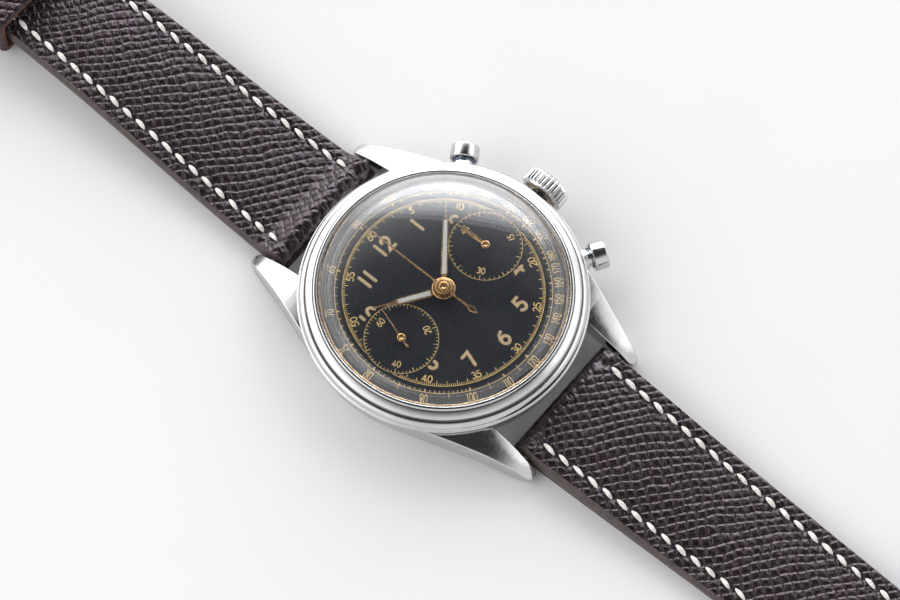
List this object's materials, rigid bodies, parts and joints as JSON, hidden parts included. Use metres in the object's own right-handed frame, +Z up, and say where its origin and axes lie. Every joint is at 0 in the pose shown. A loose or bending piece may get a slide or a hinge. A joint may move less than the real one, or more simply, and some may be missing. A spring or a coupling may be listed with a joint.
{
  "type": "chronograph wristwatch",
  "caption": "Round hand-wound chronograph wristwatch with sub-dials, a crown, pump pushers and a stitched leather strap with a tang buckle.",
  "frame": {"origin": "middle of the case back's flat outer face, which the watch rests on", "axes": "+Z up through the crystal, +Y towards 12 o'clock along the strap, +X towards 3 o'clock and the crown"},
  "size_m": [0.0412, 0.2447, 0.0118],
  "materials": {
    "polished_steel": "polished stainless steel with fine wear scratches",
    "satin_steel": "satin stainless steel",
    "spring_steel": "tempered spring steel",
    "nickel_plate": "nickel-plated brass",
    "brass": "gilt brass",
    "gilt": "aged gilt",
    "aged_brass": "tarnished brass",
    "dial_lacquer": "aged blue-black lacquer",
    "acrylic": "clear domed acrylic",
    "rubber": "matt",
    "leather": "embossed grained calf leather"
  },
  "bodies": {
    "case": {"mid_case": "polished_steel", "bezel": "polished_steel", "crystal": "acrylic", "tension_ring": "aged_brass", "case_back": "satin_steel", "case_back_gasket": "rubber", "crown_tube": "satin_steel", "pusher_tube_upper": "satin_steel", "pusher_tube_lower": "satin_steel", "pusher_spring_upper": "spring_steel", "pusher_spring_lower": "spring_steel", "movement_ring": "brass", "main_plate": "nickel_plate", "barrel_bridge": "nickel_plate", "train_bridge": "nickel_plate", "balance_cock": "nickel_plate", "chronograph_bridge": "nickel_plate", "dial": "dial_lacquer", "spring_bar_12": "satin_steel", "spring_bar_6": "satin_steel"},
    "minute_hand_set": {"minute_hand": "gilt", "cannon_pinion": "satin_steel"},
    "hour_hand_set": {"hour_hand": "gilt", "hour_wheel": "brass"},
    "minute_wheel": {"minute_wheel": "brass"},
    "seconds_arbor": {"fourth_wheel": "brass", "running_seconds_hand": "gilt"},
    "third_wheel": {"third_wheel": "brass"},
    "centre_wheel": {"centre_wheel": "brass"},
    "barrel": {"barrel_drum": "brass", "barrel_cover": "brass", "mainspring": "spring_steel"},
    "escape_wheel": {"escape_wheel": "satin_steel"},
    "pallet_fork": {"pallet_fork": "satin_steel"},
    "balance": {"balance_wheel": "brass", "hairspring": "spring_steel"},
    "stem_pinions": {"sliding_pinion": "satin_steel", "winding_pinion": "satin_steel"},
    "crown_and_stem": {"crown": "polished_steel", "winding_stem": "satin_steel"},
    "crown_wheel": {"crown_wheel": "satin_steel"},
    "ratchet": {"ratchet_wheel": "satin_steel", "barrel_arbor": "satin_steel"},
    "click": {"click": "satin_steel"},
    "pusher_upper": {"pusher_upper": "polished_steel"},
    "pusher_lower": {"pusher_lower": "polished_steel"},
    "column_wheel": {"column_wheel": "satin_steel"},
    "coupling_lever": {"coupling_lever": "satin_steel"},
    "hammer": {"hammer": "satin_steel"},
    "chronograph_runner": {"chronograph_runner": "brass", "chronograph_hand": "gilt"},
    "minute_counter": {"minute_recorder": "brass", "minute_counter_hand": "gilt"},
    "strap_12": {"strap_12": "leather", "fixed_keeper": "leather"},
    "free_keeper": {"free_keeper": "leather"},
    "buckle": {"buckle_frame": "polished_steel", "buckle_bar": "satin_steel"},
    "buckle_tongue": {"buckle_tongue": "polished_steel"},
    "strap_6": {"strap_6": "leather"}
  },
  "joints": [
    {"name": "minute_hand_turn", "type": "hinge", "parent": "case", "child": "minute_hand_set", "pos_m": [0, 0, 0.0086], "axis": [0, 0, -1], "continuous": true},
    {"name": "hour_hand_turn", "type": "hinge", "parent": "case", "child": "hour_hand_set", "pos_m": [0, 0, 0.0081], "axis": [0, 0, -1], "continuous": true},
    {"name": "minute_wheel_turn", "type": "hinge", "parent": "case", "child": "minute_wheel", "pos_m": [0.0029, -0.00213, 0.0065], "axis": [0, 0, -1], "continuous": true},
    {"name": "running_seconds_turn", "type": "hinge", "parent": "case", "child": "seconds_arbor", "pos_m": [-0.00846, 0, 0.005], "axis": [0, 0, -1], "continuous": true},
    {"name": "third_wheel_turn", "type": "hinge", "parent": "case", "child": "third_wheel", "pos_m": [-0.0044, -0.00216, 0.0044], "axis": [0, 0, -1], "continuous": true},
    {"name": "centre_wheel_turn", "type": "hinge", "parent": "case", "child": "centre_wheel", "pos_m": [0, 0, 0.004], "axis": [0, 0, -1], "continuous": true},
    {"name": "barrel_turn", "type": "hinge", "parent": "case", "child": "barrel", "pos_m": [0.00305, 0.00528, 0.0045], "axis": [0, 0, -1], "continuous": true},
    {"name": "escape_wheel_turn", "type": "hinge", "parent": "case", "child": "escape_wheel", "pos_m": [-0.0102, -0.0032, 0.004], "axis": [0, 0, -1], "continuous": true},
    {"name": "pallet_fork_rock", "type": "hinge", "parent": "case", "child": "pallet_fork", "pos_m": [-0.0086, -0.0056, 0.004], "axis": [0, 0, 1], "range_deg": [-4, 4]},
    {"name": "balance_swing", "type": "hinge", "parent": "case", "child": "balance", "pos_m": [-0.0035, -0.0083, 0.0048], "axis": [0, 0, 1], "range_deg": [-270, 270], "stiffness_Nm_per_rad": 0.0000004},
    {"name": "crown_turn", "type": "hinge", "parent": "case", "child": "stem_pinions", "pos_m": [0.0195, 0, 0.0045], "axis": [1, 0, 0], "continuous": true},
    {"name": "crown_pull", "type": "slide", "parent": "stem_pinions", "child": "crown_and_stem", "axis": [1, 0, 0], "range_m": [0, 0.001]},
    {"name": "crown_wheel_turn", "type": "hinge", "parent": "case", "child": "crown_wheel", "pos_m": [0.0102, 0.0036, 0.0028], "axis": [0, 0, 1], "continuous": true},
    {"name": "ratchet_turn", "type": "hinge", "parent": "case", "child": "ratchet", "pos_m": [0.00305, 0.00528, 0.0028], "axis": [0, 0, 1], "continuous": true},
    {"name": "click_rock", "type": "hinge", "parent": "case", "child": "click", "pos_m": [0.0093, 0.009, 0.0028], "axis": [0, 0, 1], "range_deg": [-6, 6]},
    {"name": "pusher_upper_press", "type": "slide", "parent": "case", "child": "pusher_upper", "axis": [-0.8453, -0.5344, 0], "range_m": [0, 0.0008], "stiffness_N_per_m": 1500, "deforming": ["pusher_spring_upper"]},
    {"name": "pusher_lower_press", "type": "slide", "parent": "case", "child": "pusher_lower", "axis": [-0.8453, 0.5344, 0], "range_m": [0, 0.0008], "stiffness_N_per_m": 1500, "deforming": ["pusher_spring_lower"]},
    {"name": "column_wheel_turn", "type": "hinge", "parent": "case", "child": "column_wheel", "pos_m": [0.0086, 0.007, 0.002], "axis": [0, 0, 1], "continuous": true},
    {"name": "coupling_lever_rock", "type": "hinge", "parent": "case", "child": "coupling_lever", "pos_m": [-0.0096, 0.0056, 0.0016], "axis": [0, 0, 1], "range_deg": [-3, 3]},
    {"name": "hammer_rock", "type": "hinge", "parent": "case", "child": "hammer", "pos_m": [0.0054, -0.0096, 0.0016], "axis": [0, 0, 1], "range_deg": [-3, 3]},
    {"name": "chronograph_seconds_turn", "type": "hinge", "parent": "case", "child": "chronograph_runner", "pos_m": [0, 0, 0.009], "axis": [0, 0, -1], "continuous": true},
    {"name": "minute_counter_turn", "type": "hinge", "parent": "case", "child": "minute_counter", "pos_m": [0.00846, 0, 0.0077], "axis": [0, 0, -1], "continuous": true},
    {"name": "strap_12_swing", "type": "hinge", "parent": "case", "child": "strap_12", "pos_m": [0, 0.0213, 0.0019], "axis": [1, 0, 0], "range_deg": [-80, 60]},
    {"name": "strap_6_swing", "type": "hinge", "parent": "case", "child": "strap_6", "pos_m": [0, -0.0213, 0.0019], "axis": [-1, 0, 0], "range_deg": [-80, 60]},
    {"name": "free_keeper_slide", "type": "slide", "parent": "strap_12", "child": "free_keeper", "axis": [0, 1, 0], "range_m": [-0.009, 0.0012]},
    {"name": "buckle_swing", "type": "hinge", "parent": "strap_12", "child": "buckle", "pos_m": [0, 0.0963, 0.0027], "axis": [1, 0, 0], "range_deg": [-60, 60]},
    {"name": "buckle_tongue_swing", "type": "hinge", "parent": "buckle", "child": "buckle_tongue", "pos_m": [0, 0.0963, 0.0027], "axis": [1, 0, 0], "range_deg": [0, 55]}
  ],
  "couplings": [
    {"joint": "hour_hand_turn", "follows": "minute_hand_turn", "ratio": 0.083333},
    {"joint": "minute_wheel_turn", "follows": "minute_hand_turn", "ratio": -0.33333},
    {"joint": "third_wheel_turn", "follows": "running_seconds_turn", "ratio": -0.13333},
    {"joint": "centre_wheel_turn", "follows": "running_seconds_turn", "ratio": 0.016667},
    {"joint": "barrel_turn", "follows": "running_seconds_turn", "ratio": -0.0027778},
    {"joint": "escape_wheel_turn", "follows": "running_seconds_turn", "ratio": -8},
    {"joint": "minute_counter_turn", "follows": "chronograph_seconds_turn", "ratio": 0.022222},
    {"joint": "crown_wheel_turn", "follows": "crown_turn", "ratio": 0.52174},
    {"joint": "ratchet_turn", "follows": "crown_turn", "ratio": -0.24}
  ]
}
